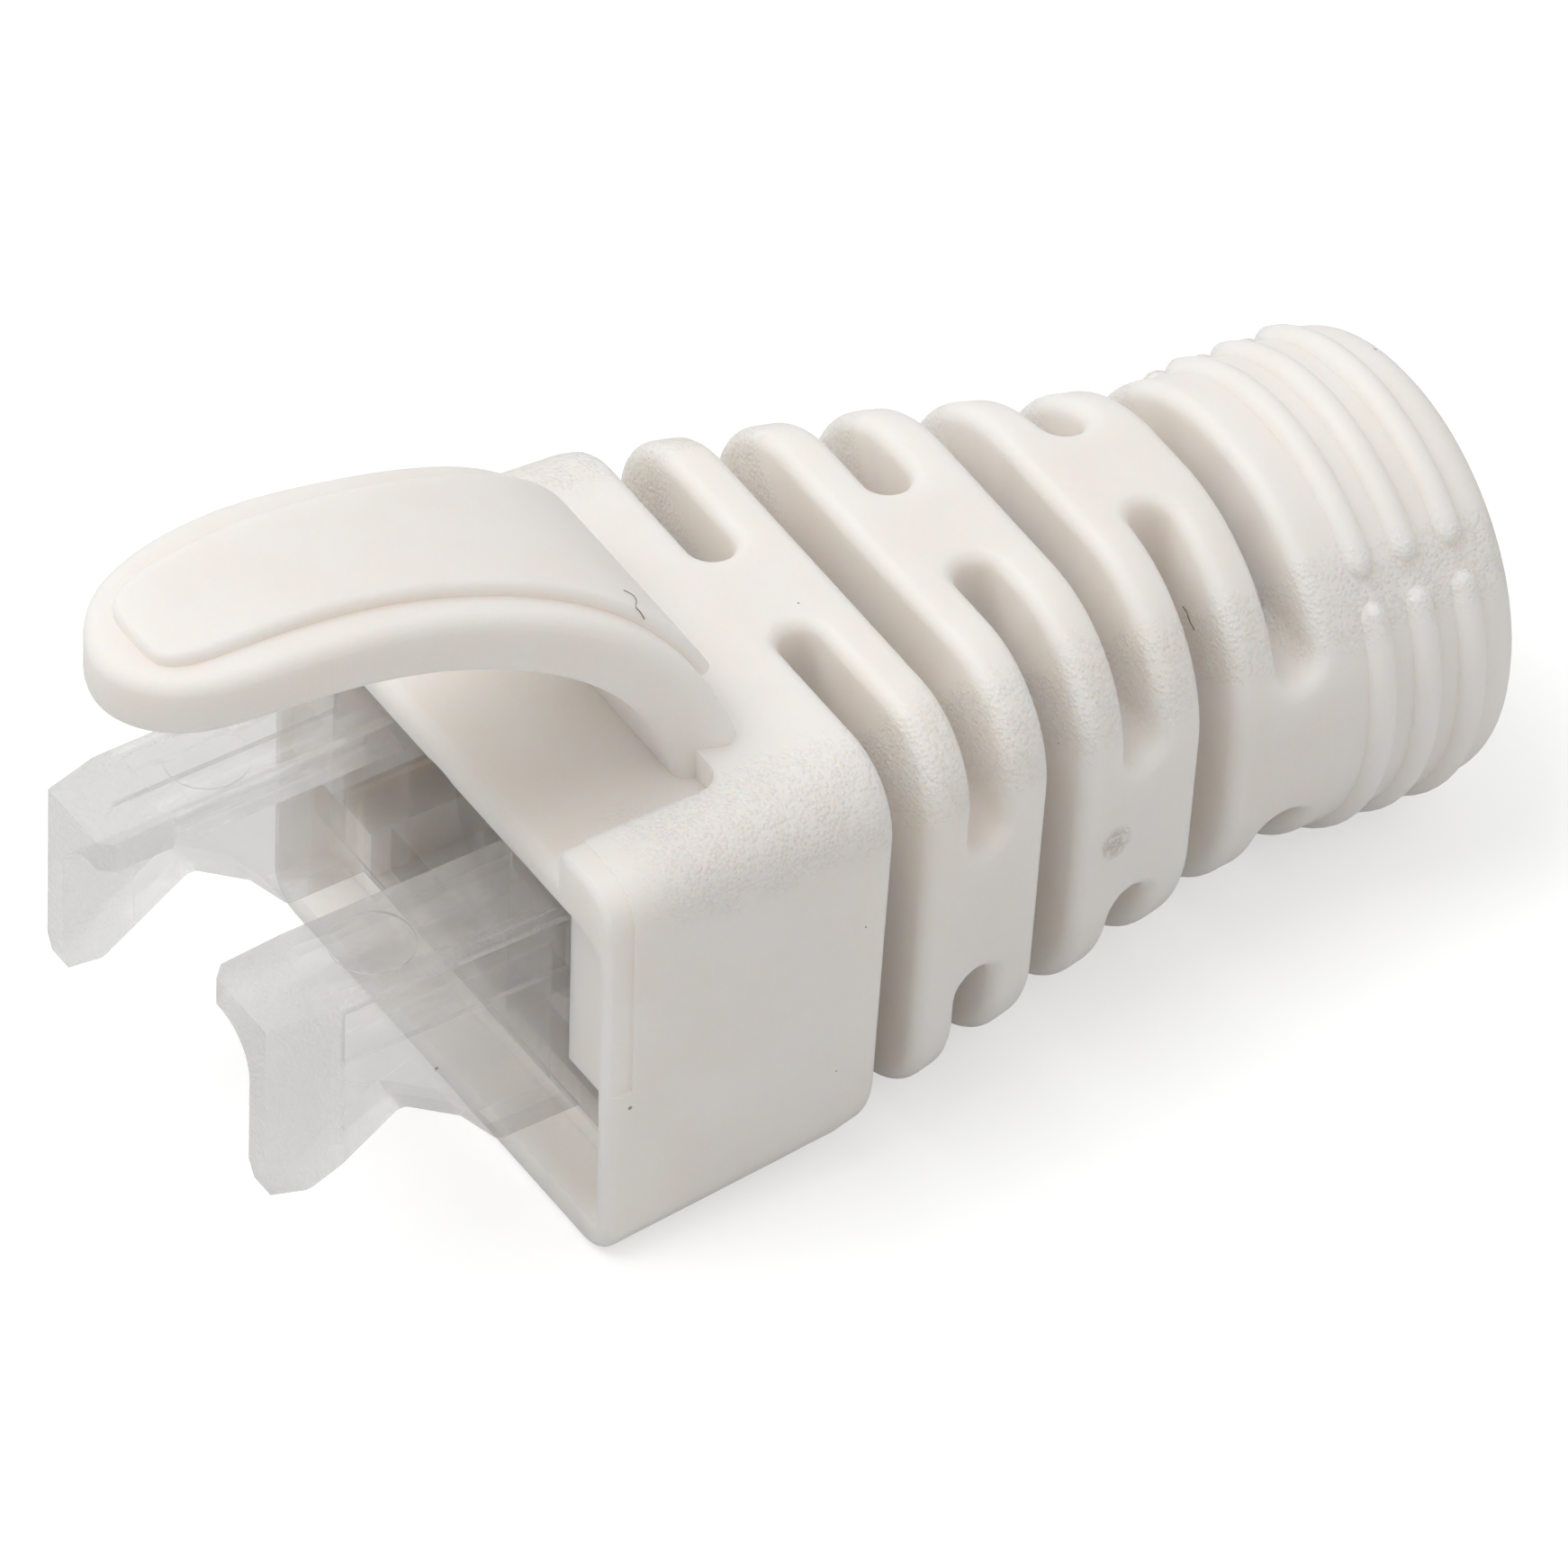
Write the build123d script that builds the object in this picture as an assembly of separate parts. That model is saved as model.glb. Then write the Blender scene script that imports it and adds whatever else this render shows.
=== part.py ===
"""Strain relief boot for an eight-way modular plug, with its clear latch insert.

Frame, in millimetres: X runs from the plug end to the cable end, with x = 0 on the front face
of the housing. Y is across, with y = 0 on the middle plane. Z is up, with z = 0 on the underside
of the housing. The tail is built straight along X from its own origin, and then set on the
housing with its axis drooping slightly.
"""
import os

from build123d import *

# Cable and the opening at the back of the plug that the clear arms fit
CABLE_D = 6.2
CABLE_CLEAR = 0.2
PLUG_OPENING = 9.9             # width inside the rear of the plug
ARM_CLEAR = 0.05               # clearance of each arm in it
BORE_R = CABLE_D / 2 + CABLE_CLEAR
ARM_Y = PLUG_OPENING / 2 - ARM_CLEAR

# Clear insert: two latch arms on a body that sits in the housing
ARM_TIP_X = -7.4
ARM_TOP = 9.05                 # height of their top faces
ARM_FOOT = 2.9                 # height of their undersides
ARM_W = 2.7                    # width of each arm's top
ARM_PLATE = 1.0                # thickness of the outer plates
ARM_FLANGE = 0.95              # thickness of the top flanges
ARM_FILLET = 1.2               # inside fillet between flange and plate
ARM_CORNER = 0.25              # rounding along the top outer edge
ARM_INNER = ARM_Y - ARM_W      # the flanges' inner edges
TIP_L = 1.85                   # tapered tip of each arm
TIP_IN = 0.35                  # how far the tip tapers inwards
TIP_DOWN = 0.15                # how far it drops
TIP_BEVEL = 0.3                # bevel of its inner corner
RELIEF_DROP = 1.8              # from the top to the lower edge of the relief behind the tip
RELIEF_STEP = 0.15
HOOK_TOE = (0.0, 4.5)          # corners of the hook and of the notch: distance behind the tip, z
HOOK_SOLE = (0.15, 3.85)
HOOK_HEEL = (1.05, 3.7)
NOTCH = (3.35, 5.25)
SHOULDER = (-2.5, 4.15)        # x and z where the underside drops again
FOOT_X = -1.5
NOTCH_ROUND = 0.35
BODY_X = 0.5                   # front face of the body, inside the mouth
KEY_Z = (2.8, 4.45)            # the keys that hold the body in the housing
KEY_X = 0.65
PASSAGE_SIDE = 0.15            # ledge on each side of the arched passage through the front wall
PASSAGE_DROP = 0.4             # from the arms' tops to the spring of its arch
PASSAGE_FLOOR = 3.4
PASSAGE_L = 2.0
PASSAGE_W = 2 * (ARM_INNER - PASSAGE_SIDE)
PASSAGE_TOP = ARM_TOP - PASSAGE_DROP
INSERT_CLEAR = 0.05            # clearance round the insert in the housing
PIN_MARK_D = 2.0               # round ejector marks on the arms
PIN_MARK_BACK = 3.45           # their distance behind the tip
PIN_MARK_IN = 1.45             # and in from the arms' outsides
PIN_MARK_DEPTH = 0.06

# Latch pocket in the roof, and the arch of the mouth below it
POCKET_W = 9.8
POCKET_L = 4.3
POCKET_DEPTH = 0.9
POCKET_FLOOR = 1.1             # material between the arms' tops and the pocket's floor
POCKET_R = 0.6
POCKET_LIP_R = 0.4             # rounding of the pocket's front edge
ARCH_RISE = 0.45               # crown of the arch above the arms' tops
POCKET_Z = ARM_TOP + POCKET_FLOOR
ARCH_TOP = ARM_TOP + ARCH_RISE

# Housing: a moulded box, slightly taller and rounder at the tail
HOUSING_W = 14.1
HOUSING_H = POCKET_Z + POCKET_DEPTH
HOUSING_L = 7.45               # front face to the first slot
HOUSING_FRONT_R = 0.9          # corner radius of the front section
HOUSING_BACK = 1.2             # wall behind the insert
LIP_ROUND = 0.32               # rounding of the front edge
UNDERSIDE_CUT = 0.03           # trimmed off to leave the underside flat
BAND_L = 0.65                  # step line behind the front edge
BAND_STEP = 0.08
BAND_Z = 5.05                  # the step line stops at this height

# Mouth: a shallow lower recess, and side cheeks that stand a little behind the lip
LIP_WALL = 0.4                 # wall left at the sides of the mouth
MOUTH_FLOOR = 0.85
MOUTH_L = 1.35
CHEEK_SET = 0.3                # how far the cheeks are set behind the lip
CHEEK_RISE = 0.4               # their top above the arms' tops
KEY_WALL = 0.85                # wall left at the sides of the keys
KEY_ROOM = 0.1                 # the lower recess ends this far above the keys
INNER_FLOOR = 1.4
MOUTH_W = HOUSING_W - 2 * LIP_WALL
MOUTH_TOP = KEY_Z[1] + KEY_ROOM
KEY_W = HOUSING_W - 2 * KEY_WALL

# Latch guard: a tab that springs from the roof and arches forward over the arms
# Its spine: x, and height above the roof
TAB_SPINE = ((4.75, -1.15), (4.5, 0.05), (3.9, 1.45), (2.5, 3.05), (0.4, 4.35), (-1.9, 5.23),
             (-4.2, 5.73), (-6.6, 5.78), (-9.4, 5.33), (-11.0, 4.9))
TAB_T = 1.6
TAB_PAD = 0.32                 # height of the raised thumb pad
TAB_PAD_EDGE = 0.9             # border round the pad
TAB_PAD_ROUND = 0.2            # rounding of its rim
TAB_PAD_START = 0.12           # share of the tab's length before the pad begins
# Its plan: x, and half the width there
TAB_HALF = ((5.9, 4.5), (4.2, 3.7), (1.5, 3.1), (-2.0, 2.75), (-6.2, 2.5), (-8.0, 1.85))
TAB_TIP_X = -9.0
TAB_ROUND = 0.4

# Tail: slots cut in turn through the sides and through top and bottom
TAIL_DROOP = 4.7               # degrees that the tail falls below the housing's axis
AXIS_DROP = 0.175              # the cable axis below the middle of the housing's end
SLOT_COUNT = 6
SLOT_PITCH = 2.3
SLOT_LEAN = (-2.0, -0.8)       # degrees from square to the tail's axis, first and last slot
SLOT_W = 1.1
WEB_TOP = 2.7                  # width of the webs left at top and bottom
WEB_SIDE = 3.7                 # height of the webs left at the sides
SLOT_ROUND = 0.38              # rounding of the rings' edges
COLLAR_WALL = 1.95             # the tail ends in a round collar
COLLAR_R = BORE_R + COLLAR_WALL
# Sections along the tail: distance from the housing, how much narrower and taller than the
# housing, corner radius, and how far the section's middle stands above the cable axis
TAIL_TAPER = ((-0.8, 0.18, 0.1, 1.85, 0.0), (6.3, 2.5, 0.1, 3.4, 0.2),
              (10.9, 3.95, -0.15, 4.4, 0.08))
COLLAR_START = 13.4            # from the end of the housing, along the tail

# Grip ribs and end of the collar
COLLAR_END = 17.95             # from the end of the housing, along the tail
COLLAR_EDGE = 0.75
RIB_COUNT = 3
RIB_FIRST = 14.15
RIB_PITCH = 1.2
RIB_W = 0.72
RIB_H = 0.28
RIB_TOP_SPAN = 89              # degrees covered by the upper ribs, centred on the top
RIB_LOW_SPAN = 244             # degrees covered by the lower ribs, centred on the bottom

AXIS_Z = HOUSING_H / 2 - AXIS_DROP
BACK_X = HOUSING_L - HOUSING_BACK
TAIL = Location((HOUSING_L, 0, AXIS_Z), (0, TAIL_DROOP, 0))


def rounded(width: float, height: float, radius: float) -> Sketch:
    """A rectangle with rounded corners, centred on its plane."""
    return RectangleRounded(width, height, min(radius, width / 2 - 0.02, height / 2 - 0.02))


def across(x: float, z: float = 0.0) -> Plane:
    """The plane across the part at x, drawn with Y to the right and Z up."""
    return Plane(origin=(x, 0, z), x_dir=(0, 1, 0), z_dir=(1, 0, 0))


def block(x: tuple, y: tuple, z: tuple) -> Part:
    """A box between two limits on each axis."""
    size = (x[1] - x[0], y[1] - y[0], z[1] - z[0])
    middle = ((x[0] + x[1]) / 2, (y[0] + y[1]) / 2, (z[0] + z[1]) / 2)
    return Pos(*middle) * Box(*size)


# Outside of the housing and tail

def tail_sections() -> list:
    """Sections of the tail from inside the housing to the start of the round collar."""
    sections = []
    for x, narrower, taller, radius, rise in TAIL_TAPER:
        outline = rounded(HOUSING_W - narrower, HOUSING_H + taller, radius)
        sections.append(TAIL * (across(x, rise) * outline))
    return [*sections, TAIL * (across(COLLAR_START) * collar_outline())]


def collar_outline() -> Sketch:
    """Section of the collar, drawn like the others so that the tail runs into it."""
    return rounded(2 * COLLAR_R, 2 * COLLAR_R, COLLAR_R - 0.1)


def blank() -> Part:
    """The whole outside before its slots: a box, then a tail that turns into a round bar."""
    sections = tail_sections()
    height = HOUSING_H + UNDERSIDE_CUT
    front = across(0, HOUSING_H - height / 2) * rounded(HOUSING_W, height, HOUSING_FRONT_R)
    housing = loft([front, sections[0]])
    housing = fillet(housing.edges().group_by(Axis.X)[0], LIP_ROUND) - underside_trim()
    collar = extrude(across(COLLAR_START) * collar_outline(), COLLAR_END - COLLAR_START)
    collar = fillet(collar.edges().group_by(Axis.X)[-1], COLLAR_EDGE)
    return housing + loft(sections, ruled=True) + TAIL * collar - step_band()


def underside_trim() -> Part:
    """What is cut away below the housing to leave its underside flat back to the tail."""
    start, _, taller, _, rise = TAIL_TAPER[0]
    rear = (TAIL * Pos(start, 0, rise - (HOUSING_H + taller) / 2)).position
    below = -HOUSING_H
    side = make_face(Polyline((-1, 0), (0, 0), (rear.X, rear.Z + UNDERSIDE_CUT), (rear.X, below),
                              (-1, below), close=True))
    return Pos(0, HOUSING_W, 0) * extrude(Plane.XZ * side, 2 * HOUSING_W)


def step_band() -> Part:
    """The thin layer missing in front of the step line."""
    far = HOUSING_W
    band = block((-1, BAND_L), (-far, far), (BAND_Z, 2 * HOUSING_H))
    inner = rounded(HOUSING_W - 2 * BAND_STEP, HOUSING_H - 2 * BAND_STEP, HOUSING_FRONT_R)
    return band - extrude(across(-2, HOUSING_H / 2) * inner, 3 * HOUSING_L)


def mouth() -> Part:
    """The hollow that the insert sits in, with the recess round its front."""
    half = MOUTH_W / 2
    neck = ARM_Y + INSERT_CLEAR
    key = KEY_W / 2 + INSERT_CLEAR
    low = block((-1, MOUTH_L), (-half, half), (MOUTH_FLOOR, MOUTH_TOP))
    cheeks = block((-1, CHEEK_SET), (-half, half), (MOUTH_FLOOR, ARM_TOP + CHEEK_RISE))
    cheeks = fillet(cheeks.edges().filter_by(Axis.X).sort_by(Axis.Z)[-2:], HOUSING_FRONT_R)
    seat = block((-1, BACK_X), (-neck, neck), (INNER_FLOOR, ARM_TOP + INSERT_CLEAR))
    keys = block((-1, BACK_X), (-key, key), (KEY_Z[0] - INSERT_CLEAR, MOUTH_TOP))
    return low + cheeks + seat + keys


def arch(top: float, depth: float) -> Part:
    """An arched passage along X from in front of the housing."""
    half = PASSAGE_W / 2
    crown = ThreePointArc((-half, PASSAGE_TOP), (0, top), (half, PASSAGE_TOP))
    walls = Polyline((half, PASSAGE_TOP), (half, PASSAGE_FLOOR), (-half, PASSAGE_FLOOR),
                     (-half, PASSAGE_TOP))
    return extrude(across(-1) * make_face([crown, walls]), depth + 1)


def latch_pocket() -> Part:
    """The recess in the roof that the plug's latch moves in, open to the front."""
    outline = Pos(POCKET_L / 2 - 1, 0) * RectangleRounded(POCKET_L + 2, POCKET_W, POCKET_R)
    return Pos(0, 0, POCKET_Z) * extrude(outline, HOUSING_H)


# Latch guard

def tab_side(rise: float, start: float) -> Sketch:
    """Side view of the tab from a share of its spine on, with its outer face raised by rise."""
    spine = Spline(*[(x, HOUSING_H + above) for x, above in TAB_SPINE])
    outer = []
    inner = []
    for i in range(11):
        step = start + (1 - start) * i / 10
        along = spine % step
        normal = Vector(along.Y, -along.X)
        outer.append(spine @ step + normal * (TAB_T / 2 + rise))
        inner.append(spine @ step - normal * TAB_T / 2)
    sides = [Spline(*outer), Spline(*inner)]
    ends = [Line(outer[0], inner[0]), Line(outer[-1], inner[-1])]
    return make_face([*sides, *ends])


def tab_plan(inset: float) -> Sketch:
    """Plan of the tab: wide at its root, narrowing to a tongue with a round end."""
    far = [(x, half - inset) for x, half in TAB_HALF]
    near = [(x, -half) for x, half in reversed(far)]
    rim = Spline(*far, (TAB_TIP_X + inset, 0), *near)
    return make_face([rim, Line(near[-1], far[0])])


def tab_layer(rise: float, inset: float, start: float) -> Part:
    """The tab's side view and plan brought together."""
    side = extrude(Plane.XZ * tab_side(rise, start), 2 * HOUSING_W)
    return Pos(0, HOUSING_W, 0) * side & extrude(tab_plan(inset), 3 * HOUSING_H)


def rims(body: Part, longer_than: float) -> ShapeList:
    """The long edges that run right round a layer of the tab."""
    return body.edges().filter_by(lambda edge: edge.length > longer_than)


def tab() -> Part:
    """The latch guard with the raised pad on its outer face."""
    body = tab_layer(0, 0, 0)
    body = fillet(rims(body, 20), TAB_ROUND)
    pad = tab_layer(TAB_PAD, TAB_PAD_EDGE, TAB_PAD_START)
    pad = fillet(rims(pad, 20), TAB_PAD_ROUND)
    return body + pad


# Slots and ribs, straight along X from the tail's own origin

def slot_frame(index: int) -> Location:
    """The middle of a slot, turned square to its walls."""
    lean = SLOT_LEAN[0] + (SLOT_LEAN[1] - SLOT_LEAN[0]) * index / (SLOT_COUNT - 1)
    return TAIL * Location((index * SLOT_PITCH + SLOT_W / 2, 0, 0), (0, lean, 0))


def slot_cut(index: int) -> Part:
    """One slot: two blind cuts with round ends that leave a web between them."""
    sideways = index % 2 == 0
    web = WEB_TOP if sideways else WEB_SIDE
    depth = HOUSING_W
    end = web / 2 + SLOT_W / 2
    cut = Pos(0, end) * Circle(SLOT_W / 2) + Pos(0, end + depth / 2) * Rectangle(SLOT_W, depth)
    pair = cut + mirror(cut, Plane.XZ)
    solid = extrude((Plane.XY if sideways else Plane.XZ) * pair, depth, both=True)
    return slot_frame(index) * solid


def slot_rims(body: Part, index: int) -> ShapeList:
    """The edges where a slot opens through the outside, found in the slot's own frame."""
    to_slot = slot_frame(index).inverse()
    reach = SLOT_W / 2 + 0.02
    found = []
    for edge in body.edges():
        box = (to_slot * edge).bounding_box()
        inside = box.min.X > -reach and box.max.X < reach
        depth = box.size.Z if index % 2 == 0 else box.size.Y
        span = box.size.Y if index % 2 == 0 else box.size.Z
        straight_in = box.size.X < 0.02 and span < 0.02 and depth > 1
        if inside and not straight_in:
            found.append(edge)
    return ShapeList(found)


def rib_pieces(index: int, span: float, middle: float) -> list:
    """One raised grip rib round part of the collar, as an arc and its two round ends."""
    tube = (RIB_W ** 2 / 4 + RIB_H ** 2) / (2 * RIB_H)
    ring_r = COLLAR_R + RIB_H - tube
    x = RIB_FIRST + index * RIB_PITCH
    ring = revolve(Plane.XZ * Pos(x, ring_r) * Circle(tube), Axis.X, span)
    ball = Pos(x, 0, ring_r) * Sphere(tube - 0.01)
    ends = [Rot(turn, 0, 0) * ball for turn in (-span / 2, span / 2)]
    return [Rot(middle, 0, 0) * piece for piece in (Rot(-span / 2, 0, 0) * ring, *ends)]


def add_ribs(body: Part) -> Part:
    """Fuse an upper and a lower run of every rib to the collar."""
    for index in range(RIB_COUNT):
        upper = rib_pieces(index, RIB_TOP_SPAN, 0)
        lower = rib_pieces(index, RIB_LOW_SPAN, 180)
        for piece in upper + lower:
            body += TAIL * piece
    return body


def round_pocket_lip(body: Part) -> Part:
    """Round the front edge of the pocket's floor."""
    edges = body.edges().filter_by(Axis.Y).filter_by_position(Axis.X, -0.02, 0.02)
    edges = edges.filter_by_position(Axis.Z, POCKET_Z - 0.02, POCKET_Z + 0.02)
    return fillet(edges, POCKET_LIP_R)


def boot() -> Part:
    """The whole boot."""
    body = blank()
    for index in range(SLOT_COUNT):
        body -= slot_cut(index)
    for index in range(SLOT_COUNT):
        body = fillet(slot_rims(body, index), SLOT_ROUND)
    body = add_ribs(body)
    body -= latch_pocket()
    body -= mouth()
    body -= arch(ARCH_TOP, BACK_X)
    body = round_pocket_lip(body)
    body += tab()
    bore = extrude(across(BACK_X - HOUSING_L - 1) * Circle(BORE_R), 2 * COLLAR_END)
    return body - TAIL * bore


# Clear insert

def arm_side() -> Sketch:
    """Side view of an arm: top, tip, hook, notch, and the foot running back to the body."""
    back = BODY_X + 1
    hook = [(ARM_TIP_X + x, z) for x, z in (HOOK_TOE, HOOK_SOLE, HOOK_HEEL, NOTCH)]
    corners = [(back, ARM_TOP), (ARM_TIP_X, ARM_TOP), *hook, SHOULDER, (FOOT_X, ARM_FOOT),
               (back, ARM_FOOT)]
    outline = make_face(Polyline(*corners, close=True))
    bends = outline.vertices().filter_by_position(Axis.X, hook[2][0] - 0.1, FOOT_X + 0.1)
    return fillet(bends, NOTCH_ROUND)


def arm_section() -> Sketch:
    """Section of an arm: an outer plate with a flange turned in along its top."""
    plate = ARM_Y - ARM_PLATE
    under = ARM_TOP - ARM_FLANGE
    outline = make_face(Polyline((ARM_INNER, ARM_TOP), (ARM_Y, ARM_TOP), (ARM_Y, 0), (plate, 0),
                                 (plate, under), (ARM_INNER, under), close=True))
    bend = outline.vertices().filter_by_position(Axis.Y, under - 0.01, under + 0.01)
    bend = bend.sort_by(Axis.X)[-1]
    outline = fillet(bend, ARM_FILLET)
    corner = outline.vertices().sort_by(Axis.Y)[-2:].sort_by(Axis.X)[-1]
    return fillet(corner, ARM_CORNER)


def arm() -> Part:
    """The arm on the +Y side, from its tip to inside the body."""
    length = BODY_X + 1 - ARM_TIP_X
    solid = extrude(across(ARM_TIP_X) * arm_section(), length)
    solid &= Pos(0, HOUSING_W, 0) * extrude(Plane.XZ * arm_side(), HOUSING_W)
    shoulder = ARM_TIP_X + TIP_L
    side = make_face(Polyline((ARM_TIP_X, ARM_Y), (ARM_TIP_X, ARM_Y - TIP_IN),
                              (shoulder, ARM_Y), close=True))
    top = make_face(Polyline((ARM_TIP_X, ARM_TOP), (ARM_TIP_X, ARM_TOP - TIP_DOWN),
                             (shoulder, ARM_TOP), close=True))
    solid -= extrude(side, HOUSING_H)
    solid -= Pos(0, HOUSING_W, 0) * extrude(Plane.XZ * top, HOUSING_W)
    bevel = make_face(Polyline((ARM_TIP_X, ARM_INNER), (ARM_TIP_X + TIP_BEVEL, ARM_INNER),
                               (ARM_TIP_X, ARM_INNER + TIP_BEVEL), close=True))
    solid -= extrude(bevel, HOUSING_H)
    solid -= block((shoulder, CHEEK_SET), (ARM_Y - RELIEF_STEP, HOUSING_W),
                   (ARM_TOP - RELIEF_DROP, ARM_TOP - ARM_CORNER))
    spot = Pos(ARM_TIP_X + PIN_MARK_BACK, ARM_Y - PIN_MARK_IN)
    mark = extrude(spot * Circle(PIN_MARK_D / 2), PIN_MARK_DEPTH)
    return solid - Pos(0, 0, ARM_TOP - PIN_MARK_DEPTH) * mark


def insert() -> Part:
    """The clear insert: both arms, the body behind them, and the keys at its sides."""
    back = BACK_X - INSERT_CLEAR
    floor = INNER_FLOOR + INSERT_CLEAR
    body = block((BODY_X, back), (-ARM_Y, ARM_Y), (ARM_FOOT, ARM_TOP))
    body += block((BODY_X + MOUTH_L, back), (-ARM_Y, ARM_Y), (floor, ARM_FOOT))
    body += block((KEY_X, back), (-KEY_W / 2, KEY_W / 2), KEY_Z)
    one = arm()
    body += one + mirror(one, Plane.XZ)
    body -= arch(ARM_TOP - ARM_FLANGE / 2, BODY_X + PASSAGE_L)
    hollow = extrude(across(BODY_X + PASSAGE_L, AXIS_Z) * Circle(BORE_R), HOUSING_L)
    return body - hollow


os.makedirs("parts", exist_ok=True)
export_step(boot(), "parts/boot.step")
export_step(insert(), "parts/clear_insert.step")
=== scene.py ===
"""Studio scene of the strain relief boot and its clear insert.

Everything is in metres in the part's own frame: X runs from the plug end to the cable end, Y is
across and Z is up, with the origin at the housing's lower front edge.
"""
import logging
import math
from dataclasses import dataclass
from enum import Enum
from typing import Any

import bmesh
import bpy
from mathutils import Matrix, Vector
from mathutils.bvhtree import BVHTree


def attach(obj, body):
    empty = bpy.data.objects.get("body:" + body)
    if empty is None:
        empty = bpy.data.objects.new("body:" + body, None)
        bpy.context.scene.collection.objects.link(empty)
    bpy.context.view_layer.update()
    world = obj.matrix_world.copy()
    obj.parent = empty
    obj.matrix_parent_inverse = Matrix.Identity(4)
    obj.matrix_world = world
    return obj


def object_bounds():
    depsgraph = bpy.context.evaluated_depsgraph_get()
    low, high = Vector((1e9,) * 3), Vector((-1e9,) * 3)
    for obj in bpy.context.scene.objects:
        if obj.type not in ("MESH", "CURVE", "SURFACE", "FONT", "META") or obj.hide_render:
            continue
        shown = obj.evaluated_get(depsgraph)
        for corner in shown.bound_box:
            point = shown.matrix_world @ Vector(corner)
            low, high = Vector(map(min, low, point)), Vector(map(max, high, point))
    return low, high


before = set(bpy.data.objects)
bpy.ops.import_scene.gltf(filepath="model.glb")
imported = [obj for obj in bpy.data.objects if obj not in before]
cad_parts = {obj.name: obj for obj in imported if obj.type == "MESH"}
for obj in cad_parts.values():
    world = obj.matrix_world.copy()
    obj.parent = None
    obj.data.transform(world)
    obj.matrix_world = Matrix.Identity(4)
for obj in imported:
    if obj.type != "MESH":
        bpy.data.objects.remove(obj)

CAD_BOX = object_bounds()
MM = 0.001
log = logging.getLogger("boot_scene")


class Node(Enum):
    """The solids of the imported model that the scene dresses."""

    BOOT = "boot"
    INSERT = "clear_insert"


# Shader nodes


class Value:
    """A number socket that can be used in ordinary arithmetic."""

    def __init__(self, tree: "Tree", socket: bpy.types.NodeSocket) -> None:
        """Wrap a socket.

        Args:
            tree: the tree that new nodes go into.
            socket: the output that holds the number.
        """
        self.tree = tree
        self.socket = socket

    def _math(self, operation: str, *operands: Any) -> "Value":
        """Add a Math node.

        Args:
            operation: the node's operation.
            operands: values or numbers, in the node's order.

        Returns:
            The node's result.
        """
        sockets = dict(enumerate(operands))
        node = self.tree.node("ShaderNodeMath", {"operation": operation}, sockets)
        return Value(self.tree, node.outputs[0])

    def __add__(self, other: Any) -> "Value":
        """Sum."""
        return self._math("ADD", self, other)

    __radd__ = __add__

    def __sub__(self, other: Any) -> "Value":
        """Difference."""
        return self._math("SUBTRACT", self, other)

    def __rsub__(self, other: Any) -> "Value":
        """Reflected difference."""
        return self._math("SUBTRACT", other, self)

    def __mul__(self, other: Any) -> "Value":
        """Product."""
        return self._math("MULTIPLY", self, other)

    __rmul__ = __mul__

    def __truediv__(self, other: Any) -> "Value":
        """Quotient."""
        return self._math("DIVIDE", self, other)

    def __rtruediv__(self, other: Any) -> "Value":
        """Reflected quotient."""
        return self._math("DIVIDE", other, self)

    def size(self) -> "Value":
        """Absolute value."""
        return self._math("ABSOLUTE", self)

    def angle_to(self, other: Any) -> "Value":
        """Angle whose tangent is this value over the other, in radians."""
        return self._math("ARCTAN2", self, other)

    def most(self, other: Any) -> "Value":
        """The larger of two values."""
        return self._math("MAXIMUM", self, other)

    def least(self, other: Any) -> "Value":
        """The smaller of two values."""
        return self._math("MINIMUM", self, other)

    def ease(self, start: float, end: float) -> "Value":
        """A smooth step.

        Args:
            start: where the result is 0.
            end: where the result is 1, above or below start.

        Returns:
            A value from 0 to 1.
        """
        low, high = min(start, end), max(start, end)
        spread = self.tree.node(
            "ShaderNodeMapRange",
            {"interpolation_type": "SMOOTHSTEP"},
            {"Value": self, "From Min": low, "From Max": high},
        )
        step = Value(self.tree, spread.outputs["Result"])
        return step if end > start else 1 - step


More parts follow.
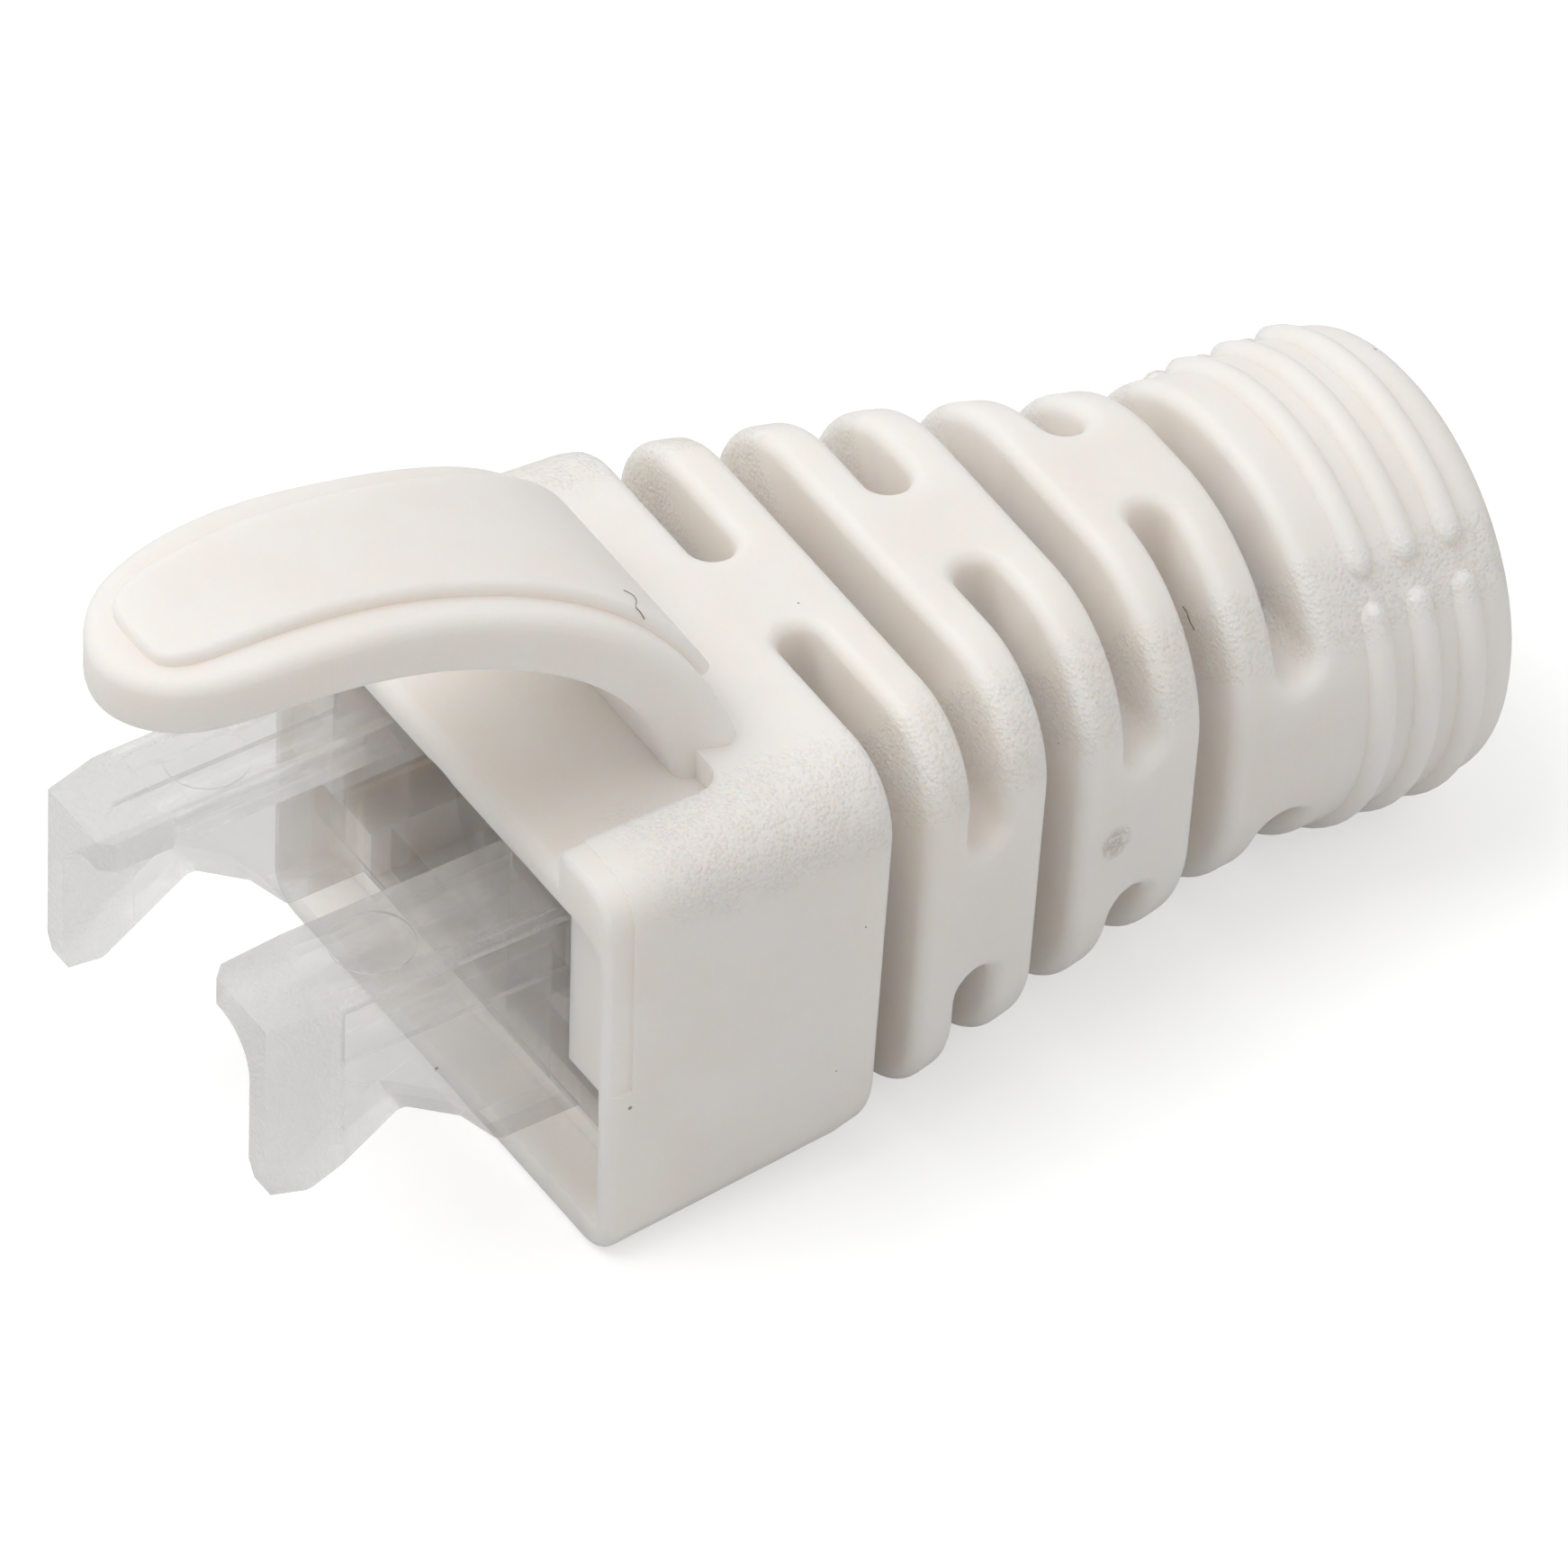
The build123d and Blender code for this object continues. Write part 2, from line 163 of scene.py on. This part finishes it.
class Tree:
    """The node tree of a material or of the world."""

    def __init__(self, owner: Any) -> None:
        """Empty the tree of its owner.

        Args:
            owner: a material or a world.
        """
        owner.use_nodes = True
        self.nodes = owner.node_tree.nodes
        self.links = owner.node_tree.links
        self.nodes.clear()

    def node(self, kind: str, settings: dict[str, Any] | None = None,
             sockets: dict[Any, Any] | None = None) -> bpy.types.Node:
        """Add a node.

        Args:
            kind: the node's type.
            settings: its own properties, which are set first.
            sockets: values or links of its inputs, by name or number.

        Returns:
            The node.
        """
        node = self.nodes.new(kind)
        for name, value in (settings or {}).items():
            setattr(node, name, value)
        for name, value in (sockets or {}).items():
            if isinstance(value, Value):
                value = value.socket
            if isinstance(value, bpy.types.NodeSocket):
                self.links.new(value, node.inputs[name])
            else:
                node.inputs[name].default_value = value
        return node

    def place(self) -> bpy.types.NodeSocket:
        """The surface point in the part's frame, in millimetres."""
        point = self.node("ShaderNodeTexCoord").outputs["Object"]
        scaled = self.node("ShaderNodeVectorMath", {"operation": "SCALE"}, {0: point, "Scale": 1 / MM})
        return scaled.outputs[0]

    def facing(self) -> tuple[Value, Value, Value]:
        """The surface normal's three parts in the part's frame."""
        return self.split(self.node("ShaderNodeTexCoord").outputs["Normal"])

    def split(self, vector: bpy.types.NodeSocket) -> tuple[Value, Value, Value]:
        """The three parts of a vector."""
        parts = self.node("ShaderNodeSeparateXYZ", None, {0: vector})
        return tuple(Value(self, output) for output in parts.outputs)

    def stretched(self, point: bpy.types.NodeSocket,
                  factors: tuple[float, float, float]) -> bpy.types.NodeSocket:
        """A point scaled by its own factor on each axis."""
        scaled = self.node("ShaderNodeVectorMath", {"operation": "MULTIPLY"}, {0: point, 1: factors})
        return scaled.outputs[0]

    def noise(self, point: bpy.types.NodeSocket, scale: float, detail: float = 2.0,
              rough: float = 0.5) -> Value:
        """Smooth noise.

        Args:
            point: where to look it up.
            scale: how many swells to a unit of the point.
            detail: how many finer layers it has.
            rough: how strong they are.

        Returns:
            A value near 0.5 all over.
        """
        sockets = {"Vector": point, "Scale": scale, "Detail": detail, "Roughness": rough}
        return Value(self, self.node("ShaderNodeTexNoise", None, sockets).outputs[0])

    def grains(self, point: bpy.types.NodeSocket, scale: float) -> Value:
        """Distance to the middle of the nearest of many scattered grains."""
        cells = self.node("ShaderNodeTexVoronoi", None, {"Vector": point, "Scale": scale})
        return Value(self, cells.outputs["Distance"])

    def distance(self, point: bpy.types.NodeSocket, spot: Vector) -> Value:
        """Distance from a fixed spot."""
        far = self.node("ShaderNodeVectorMath", {"operation": "DISTANCE"}, {0: point, 1: tuple(spot)})
        return Value(self, far.outputs["Value"])

    def blend(self, factor: Value, low: Any, high: Any) -> bpy.types.NodeSocket:
        """A colour between two others.

        Args:
            factor: 0 for the first colour and 1 for the second.
            low: the first colour, as three numbers or a socket.
            high: the second one.

        Returns:
            The mixed colour.
        """
        ends = [(*c, 1.0) if isinstance(c, tuple) else c for c in (low, high)]
        mix = self.node("ShaderNodeMix", {"data_type": "RGBA"}, {0: factor, 6: ends[0], 7: ends[1]})
        return mix.outputs[2]

    def bump(self, height: Value, depth_mm: float,
             under: bpy.types.NodeSocket | None = None) -> bpy.types.NodeSocket:
        """A normal tilted by a height.

        Args:
            height: the relief, from 0 to about 1.
            depth_mm: how deep it is, in millimetres.
            under: a normal that it goes on top of.

        Returns:
            The new normal.
        """
        sockets = {"Strength": 1.0, "Distance": depth_mm * MM, "Height": height}
        if under is not None:
            sockets["Normal"] = under
        return self.node("ShaderNodeBump", None, sockets).outputs[0]

    def finish(self, shader: bpy.types.NodeSocket, kind: str = "ShaderNodeOutputMaterial") -> None:
        """Send a shader to the surface output."""
        self.node(kind, None, {"Surface": shader})


def plain(red: float, green: float, blue: float) -> tuple[float, float, float]:
    """A display colour from 0 to 255 as scene colour.

    Args:
        red: red share.
        green: green share.
        blue: blue share.

    Returns:
        The linear colour.
    """
    parts = []
    for part in (red, green, blue):
        share = part / 255
        parts.append(share / 12.92 if share <= 0.04045 else ((share + 0.055) / 1.055) ** 2.4)
    return tuple(parts)


# Finishes


@dataclass(frozen=True)
class TailAxis:
    """Where the tail's middle line leaves the housing, and how it falls."""

    start_x: float = 7.45
    start_z: float = 5.35
    droop: float = math.radians(4.7)

    def around(self, tree: Tree, point: bpy.types.NodeSocket) -> tuple[Value, Value]:
        """Place of a point round the tail.

        Args:
            tree: the tree to work in.
            point: the point in millimetres.

        Returns:
            Distance along the tail, and degrees from its top to either side.
        """
        x, y, z = tree.split(point)
        ahead, above = x - self.start_x, z - self.start_z
        along = ahead * math.cos(self.droop) - above * math.sin(self.droop)
        up = ahead * math.sin(self.droop) + above * math.cos(self.droop)
        return along, y.size().angle_to(up) * (180 / math.pi)


@dataclass(frozen=True)
class SoftPlastic:
    """Warm white moulded plastic with a spark-eroded texture along its corners."""

    name: str = "soft_plastic"
    light: tuple[float, float, float] = plain(247, 243, 239)
    deep: tuple[float, float, float] = plain(244, 237, 229)
    speck: tuple[float, float, float] = plain(96, 84, 76)
    scar_colour: tuple[float, float, float] = plain(196, 184, 170)
    roughness: float = 0.5
    sparkle_at: float = 52.0
    sparkle_half: float = 15.0
    sparkle_scale: float = 9.5
    sparkle_depth: float = 0.036
    fine_scale: float = 13.0
    fine_depth: float = 0.012
    cloud_scale: float = 0.35
    line_stretch: tuple[float, float, float] = (3.2, 1.0, 0.12)
    scar_depth: float = 0.22
    scatter_mm: float = 0.8
    axis: TailAxis = TailAxis()

    def build(self, specks: list[tuple[Vector, float]], gate: Vector) -> bpy.types.Material:
        """Make the material.

        Args:
            specks: small dirt marks, each with its place and radius in millimetres.
            gate: where the moulding was broken off its runner, in millimetres.

        Returns:
            The material.
        """
        material = bpy.data.materials.new(self.name)
        tree = Tree(material)
        point = tree.place()
        _, across, _ = tree.facing()
        along, turn = self.axis.around(tree, point)

        # the textured corners: a band round the tail's shoulder, ragged at its sides
        ragged = tree.noise(point, 1.1, 3.0) * 12 - 6
        band = 1 - ((turn + ragged - self.sparkle_at) / self.sparkle_half).size().ease(0.45, 1.0)
        band = band * along.ease(-7.4, -5.5)
        grain = tree.grains(point, self.sparkle_scale)
        fine = tree.noise(point, self.fine_scale, 3.0, 0.65)
        cloud = tree.noise(point, self.cloud_scale, 2.0)

        # faint cutter lines that the mould left on the flat sides
        lines = tree.noise(tree.stretched(point, self.line_stretch), 1.0, 3.0, 0.6)
        flat = across.size().ease(0.9, 0.99)

        relief = fine * 0.35 + lines * flat * 0.9
        normal = tree.bump(relief, self.fine_depth)
        normal = tree.bump(band * (1 - grain.ease(0.0, 0.75)), self.sparkle_depth, normal)

        # the broken gate: a small star-like scar
        gap = tree.distance(point, gate)
        star = tree.noise(point, 5.5, 2.0, 0.7)
        scar = (1 - gap.ease(0.12, 0.52)) * star.ease(0.38, 0.62)
        normal = tree.bump(scar, self.scar_depth, normal)

        colour = tree.blend(cloud.ease(0.35, 0.7) * 0.5 + fine * 0.2, self.light, self.deep)
        colour = tree.blend(scar * 0.22, colour, self.scar_colour)
        for spot, radius in specks:
            mark = 1 - tree.distance(point, spot).ease(radius * 0.5, radius)
            colour = tree.blend(mark * 0.7, colour, self.speck)

        gloss = self.roughness + fine * 0.06 - band * 0.12
        skin = tree.node("ShaderNodeBsdfPrincipled", {"subsurface_method": "RANDOM_WALK"}, {
            "Base Color": colour,
            "Roughness": gloss,
            "IOR": 1.48,
            "Specular IOR Level": 0.4,
            "Subsurface Weight": 0.85,
            "Subsurface Radius": (1.0, 0.8, 0.62),
            "Subsurface Scale": self.scatter_mm * MM,
            "Normal": normal,
        })
        tree.finish(skin.outputs[0])
        return material


@dataclass(frozen=True)
class ClearPlastic:
    """Clear moulded plastic with a light veil, frosted at the tips and on the slanted faces."""

    name: str = "clear_plastic"
    tint: tuple[float, float, float] = plain(247, 246, 245)
    polish: float = 0.07
    frost: float = 0.42
    tip_end: float = -5.55
    body_start: float = 0.2
    veil: float = 0.5
    body_veil: float = 0.14
    grain_scale: float = 9.0
    grain_depth: float = 0.03
    fine_scale: float = 16.0
    fine_depth: float = 0.006
    line_stretch: tuple[float, float, float] = (0.25, 1.0, 5.5)
    speck: tuple[float, float, float] = plain(96, 84, 76)

    def build(self, speck: Vector) -> bpy.types.Material:
        """Make the material.

        Args:
            speck: a small dirt mark on the near arm, in millimetres.

        Returns:
            The material.
        """
        material = bpy.data.materials.new(self.name)
        tree = Tree(material)
        point = tree.place()
        x, y, z = tree.split(point)
        ahead, across, up = tree.facing()

        tips = x.ease(self.tip_end + 0.04, self.tip_end - 0.04)
        slanted = (ahead.ease(0.35, 0.6) * up.ease(-0.3, -0.5) * x.ease(-3.8, -4.0)).least(1.0)
        shoulder = y.size().ease(4.35, 4.5) * z.ease(8.5, 8.7) * x.ease(-0.2, -0.6)
        rough = tips.most(slanted).most(shoulder * 0.8)

        grain = tree.grains(point, self.grain_scale)
        fine = tree.noise(point, self.fine_scale, 3.0, 0.7)
        lines = tree.noise(tree.stretched(point, self.line_stretch), 1.0, 2.0, 0.5)
        normal = tree.bump(fine * 0.4 + lines * across.size().ease(0.8, 0.98), self.fine_depth)
        normal = tree.bump(rough * (1 - grain.ease(0.0, 0.8)), self.grain_depth, normal)

        # the body is polished all over, and clearer than the arms
        veil = self.veil - (self.veil - self.body_veil) * x.ease(self.body_start, self.body_start + 0.6)
        mark = 1 - tree.distance(point, speck).ease(0.03, 0.07)

        glass = tree.node("ShaderNodeBsdfPrincipled", None, {
            "Base Color": tree.blend(mark, self.tint, self.speck),
            "Roughness": self.polish + rough * (self.frost - self.polish),
            "IOR": 1.4,
            "Alpha": veil.most(mark * 0.9),
            "Transmission Weight": 0.7,
            "Specular IOR Level": 0.9,
            "Normal": normal,
        })
        tree.finish(glass.outputs[0])
        return material


@dataclass(frozen=True)
class Lint:
    """A dark grey textile fibre."""

    name: str = "lint_fibre"
    colour: tuple[float, float, float] = plain(120, 108, 100)
    pale: tuple[float, float, float] = plain(150, 138, 128)

    def build(self) -> bpy.types.Material:
        """Make the material.

        Returns:
            The material.
        """
        material = bpy.data.materials.new(self.name)
        tree = Tree(material)
        shade = tree.noise(tree.place(), 6.0)
        colour = tree.blend(shade, self.colour, self.pale)
        fibre = tree.node("ShaderNodeBsdfPrincipled", None, {"Base Color": colour, "Roughness": 0.8})
        tree.finish(fibre.outputs[0])
        return material


@dataclass(frozen=True)
class Backdrop:
    """Plain white paper that reads as white to the camera and still takes a shadow."""

    name: str = "white_paper"
    paper: tuple[float, float, float] = (0.7, 0.7, 0.7)
    lift: float = 0.5

    def build(self) -> bpy.types.Material:
        """Make the material.

        Returns:
            The material.
        """
        material = bpy.data.materials.new(self.name)
        tree = Tree(material)
        fibre = tree.noise(tree.place(), 0.8, 2.0)
        colour = tree.blend(fibre * 0.3, self.paper, tuple(0.98 * part for part in self.paper))
        paper = tree.node("ShaderNodeBsdfDiffuse", None, {"Color": colour})
        seen = Value(tree, tree.node("ShaderNodeLightPath").outputs["Is Camera Ray"])
        sockets = {"Color": (1.0, 1.0, 1.0, 1.0), "Strength": seen * self.lift}
        glow = tree.node("ShaderNodeEmission", None, sockets)
        both = tree.node("ShaderNodeAddShader", None, {0: paper.outputs[0], 1: glow.outputs[0]})
        tree.finish(both.outputs[0])
        return material


# Camera and studio


@dataclass
class Camera:
    """The long-lens view of the photograph."""

    azimuth: float = -33.269
    elevation: float = 43.828
    roll: float = 1.213
    distance: float = 1.0
    aim: tuple[float, float, float] = (7.3, 0.0, 7.7)
    aim_pixel: tuple[float, float] = (797.9, 787.8)
    pixels: int = 1742
    per_mm: float = 50.0
    sensor: float = 36.0

    def axes(self) -> tuple[Vector, Vector, Vector]:
        """Directions of the picture.

        Returns:
            Right, up and backward, towards the camera.
        """
        turn, lift = math.radians(self.azimuth), math.radians(self.elevation)
        back = Vector((math.sin(turn) * math.cos(lift), -math.cos(turn) * math.cos(lift), math.sin(lift)))
        right = Vector((0, 0, 1)).cross(back).normalized()
        up = back.cross(right)
        tilt = Matrix.Rotation(math.radians(self.roll), 3, back)
        return tilt @ right, tilt @ up, back

    def position(self) -> Vector:
        """Where the camera stands."""
        right, up, back = self.axes()
        step = MM / self.per_mm
        middle = self.pixels / 2
        centre = Vector(self.aim) * MM
        centre += right * (middle - self.aim_pixel[0]) * step - up * (middle - self.aim_pixel[1]) * step
        return centre + back * self.distance

    def ray(self, pixel: tuple[float, float]) -> tuple[Vector, Vector]:
        """The line of sight through a point of the picture.

        Args:
            pixel: the point, from the picture's upper left corner.

        Returns:
            Where it starts, and its direction.
        """
        right, up, back = self.axes()
        reach = self.distance / MM * self.per_mm
        middle = self.pixels / 2
        way = right * (pixel[0] - middle) - up * (pixel[1] - middle) - back * reach
        return self.position(), way.normalized()

    def build(self) -> bpy.types.Object:
        """Make the camera and use it.

        Returns:
            The camera.
        """
        data = bpy.data.cameras.new("camera")
        data.sensor_width = self.sensor
        data.lens = self.per_mm * self.distance / MM / self.pixels * self.sensor
        data.clip_start, data.clip_end = 0.05, 20.0
        camera = bpy.data.objects.new("camera", data)
        right, up, back = self.axes()
        turned = Matrix((right, up, back)).transposed().to_4x4()
        camera.matrix_world = Matrix.Translation(self.position()) @ turned
        bpy.context.scene.collection.objects.link(camera)
        bpy.context.scene.camera = camera
        return camera


@dataclass
class Softbox:
    """A square lamp that looks at the part."""

    name: str
    toward: tuple[float, float, float]
    distance: float
    side: float
    light: float
    colour: tuple[float, float, float] = (1.0, 1.0, 1.0)

    def build(self, target: Vector) -> bpy.types.Object:
        """Hang the lamp.

        Args:
            target: what it looks at.

        Returns:
            The lamp.
        """
        data = bpy.data.lights.new(self.name, "AREA")
        data.shape = "SQUARE"
        data.size = self.side
        data.energy = self.light * (math.pi * self.distance) ** 2
        data.color = self.colour
        lamp = bpy.data.objects.new(self.name, data)
        way = Vector(self.toward).normalized()
        lamp.location = target + way * self.distance
        lamp.rotation_mode = "QUATERNION"
        lamp.rotation_quaternion = way.to_track_quat("Z", "Y")
        bpy.context.scene.collection.objects.link(lamp)
        return lamp


@dataclass
class Studio:
    """White floor, even white surroundings and two soft lamps."""

    surround: float = 0.5
    floor_side: float = 1.2
    front_rest: tuple[float, float] = (0.2, -0.005)
    rear_rest: tuple[float, float] = (24.0, -1.292)

    def build_floor(self) -> bpy.types.Object:
        """Lay the floor under the two lines that the part rests on.

        Returns:
            The floor.
        """
        run = self.rear_rest[0] - self.front_rest[0]
        slope = math.atan2(self.rear_rest[1] - self.front_rest[1], run)
        mesh = bpy.data.meshes.new("floor")
        shape = bmesh.new()
        bmesh.ops.create_grid(shape, x_segments=12, y_segments=12, size=self.floor_side / 2)
        shape.to_mesh(mesh)
        shape.free()
        mesh.materials.append(Backdrop().build())
        floor = bpy.data.objects.new("floor", mesh)
        middle = Vector((self.front_rest[0], 0, self.front_rest[1])) * MM
        floor.matrix_world = Matrix.Translation(middle) @ Matrix.Rotation(-slope, 4, "Y")
        bpy.context.scene.collection.objects.link(floor)
        return floor

    def build_world(self) -> None:
        """Surround the part with even light that looks white."""
        world = bpy.data.worlds.new("surround")
        bpy.context.scene.world = world
        tree = Tree(world)
        path = tree.node("ShaderNodeLightPath")
        seen = Value(tree, path.outputs["Is Camera Ray"]).most(Value(tree, path.outputs["Is Glossy Ray"]))
        seen = seen.most(Value(tree, path.outputs["Is Transmission Ray"]))
        strength = self.surround + seen * (1 - self.surround)
        sky = tree.node("ShaderNodeBackground", None, {"Color": (1.0, 1.0, 1.0, 1.0), "Strength": strength})
        tree.finish(sky.outputs[0], "ShaderNodeOutputWorld")

    def build(self, target: Vector) -> None:
        """Make the whole studio.

        Args:
            target: what the lamps look at.
        """
        self.build_floor()
        self.build_world()
        Softbox("key_lamp", (-0.35, 0.25, 0.9), 0.6, 0.45, 0.54, (1.0, 0.998, 0.995)).build(target)
        Softbox("side_lamp", (0.5, -0.8, 0.45), 0.8, 0.5, 0.06).build(target)


# The part


@dataclass
class Skin:
    """Smooth shading for a solid that came as separate flat patches."""

    crease: float = 32.0
    weld: float = 0.0005
    edge: float = 0.0
    edge_angle: float = 35.0

    def apply(self, solid: bpy.types.Object) -> None:
        """Join the patches for shading, break the edges if asked, and keep the rest sharp.

        Args:
            solid: the solid's object.
        """
        weld = solid.modifiers.new("weld", "WELD")
        weld.merge_threshold = self.weld * MM
        if self.edge > 0:
            edges = solid.modifiers.new("edges", "BEVEL")
            edges.width = self.edge * MM
            edges.segments = 2
            edges.limit_method = "ANGLE"
            edges.angle_limit = math.radians(self.edge_angle)
            edges.harden_normals = False
        split = solid.modifiers.new("crease", "EDGE_SPLIT")
        split.split_angle = math.radians(self.crease)
        normals = solid.modifiers.new("normals", "WEIGHTED_NORMAL")
        normals.keep_sharp = True
        for polygon in solid.data.polygons:
            polygon.use_smooth = True


@dataclass
class Boot:
    """The moulded boot with its marks from the tool and from handling."""

    camera: Camera
    fibre_radius: float = 0.014
    gate_pixel: tuple[float, float] = (1240.0, 936.0)
    speck_pixels: tuple[tuple[float, float, float], ...] = (
        (700.0, 1231.0, 0.07), (1528.0, 388.0, 0.06), (962.0, 1030.0, 0.035), (1176.0, 826.0, 0.03),
        (887.0, 670.0, 0.035), (929.0, 1190.0, 0.03),
    )
    guard_lint: tuple[tuple[float, float], ...] = (
        (693, 656), (703, 660), (708, 668), (705, 674), (712, 680), (716, 688),
    )
    ring_lint: tuple[tuple[float, float], ...] = ((1314, 674), (1319, 680), (1321, 690), (1327, 700))

    def land(self, surface: BVHTree, pixel: tuple[float, float]) -> Vector:
        """Find the point of the surface seen at a pixel.

        Args:
            surface: the boot's surface.
            pixel: the point of the picture.

        Returns:
            The point, in metres.
        """
        start, way = self.camera.ray(pixel)
        point, _, _, _ = surface.ray_cast(start, way)
        if point is None:
            raise ValueError(f"nothing of the boot is seen at {pixel}")
        return point

    def build(self) -> bpy.types.Object:
        """Dress the boot.

        Returns:
            The boot's object.
        """
        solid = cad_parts[Node.BOOT.value]
        surface = BVHTree.FromObject(solid, bpy.context.evaluated_depsgraph_get())
        specks = [(self.land(surface, (u, v)) / MM, radius) for u, v, radius in self.speck_pixels]
        gate = self.land(surface, self.gate_pixel) / MM
        finish = SoftPlastic().build(specks, gate)
        solid.data.materials.clear()
        solid.data.materials.append(finish)
        Skin().apply(solid)
        self.build_lint(surface, "lint_near_guard", self.guard_lint)
        self.build_lint(surface, "lint_on_ring", self.ring_lint)
        return solid

    def build_lint(self, surface: BVHTree, name: str,
                   pixels: tuple[tuple[float, float], ...]) -> bpy.types.Object:
        """Lay a fine fibre on the boot.

        Args:
            surface: the boot's surface.
            name: the piece's name.
            pixels: points of the picture that the fibre passes.

        Returns:
            The fibre.
        """
        curve = bpy.data.curves.new(name, "CURVE")
        curve.dimensions = "3D"
        curve.bevel_depth = self.fibre_radius * MM
        curve.bevel_resolution = 2
        spline = curve.splines.new("NURBS")
        spline.points.add(len(pixels) - 1)
        _, way = self.camera.ray(pixels[0])
        for point, pixel in zip(spline.points, pixels):
            place = self.land(surface, pixel) - way * 0.02 * MM
            point.co = (*place, 1.0)
        spline.order_u = 3
        spline.use_endpoint_u = True
        curve.materials.append(Lint().build())
        fibre = bpy.data.objects.new(name, curve)
        bpy.context.scene.collection.objects.link(fibre)
        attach(fibre, "root")
        return fibre


@dataclass
class Insert:
    """The clear insert with its two hooked arms."""

    camera: Camera
    edge: float = 0.05
    crease: float = 40.0
    speck_pixel: tuple[float, float] = (485.0, 1187.0)

    def build(self) -> bpy.types.Object:
        """Dress the insert and break its edges slightly.

        Returns:
            The insert's object.
        """
        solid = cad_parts[Node.INSERT.value]
        surface = BVHTree.FromObject(solid, bpy.context.evaluated_depsgraph_get())
        speck, _, _, _ = surface.ray_cast(*self.camera.ray(self.speck_pixel))
        if speck is None:
            raise ValueError(f"nothing of the insert is seen at {self.speck_pixel}")
        solid.data.materials.clear()
        solid.data.materials.append(ClearPlastic().build(speck / MM))
        Skin(crease=self.crease, edge=self.edge).apply(solid)
        return solid


def main() -> None:
    """Build the scene in order and log the name of each dressed part."""
    logging.basicConfig(level=logging.INFO, format="%(name)s: %(message)s")
    bpy.context.scene.view_settings.view_transform = "Standard"
    camera = Camera()
    camera.build()
    middle = (CAD_BOX[0] + CAD_BOX[1]) / 2
    Studio().build(middle)
    for piece in (Boot(camera), Insert(camera)):
        solid = piece.build()
        log.info("dressed %s", solid.name)


if __name__ == "__main__":
    main()
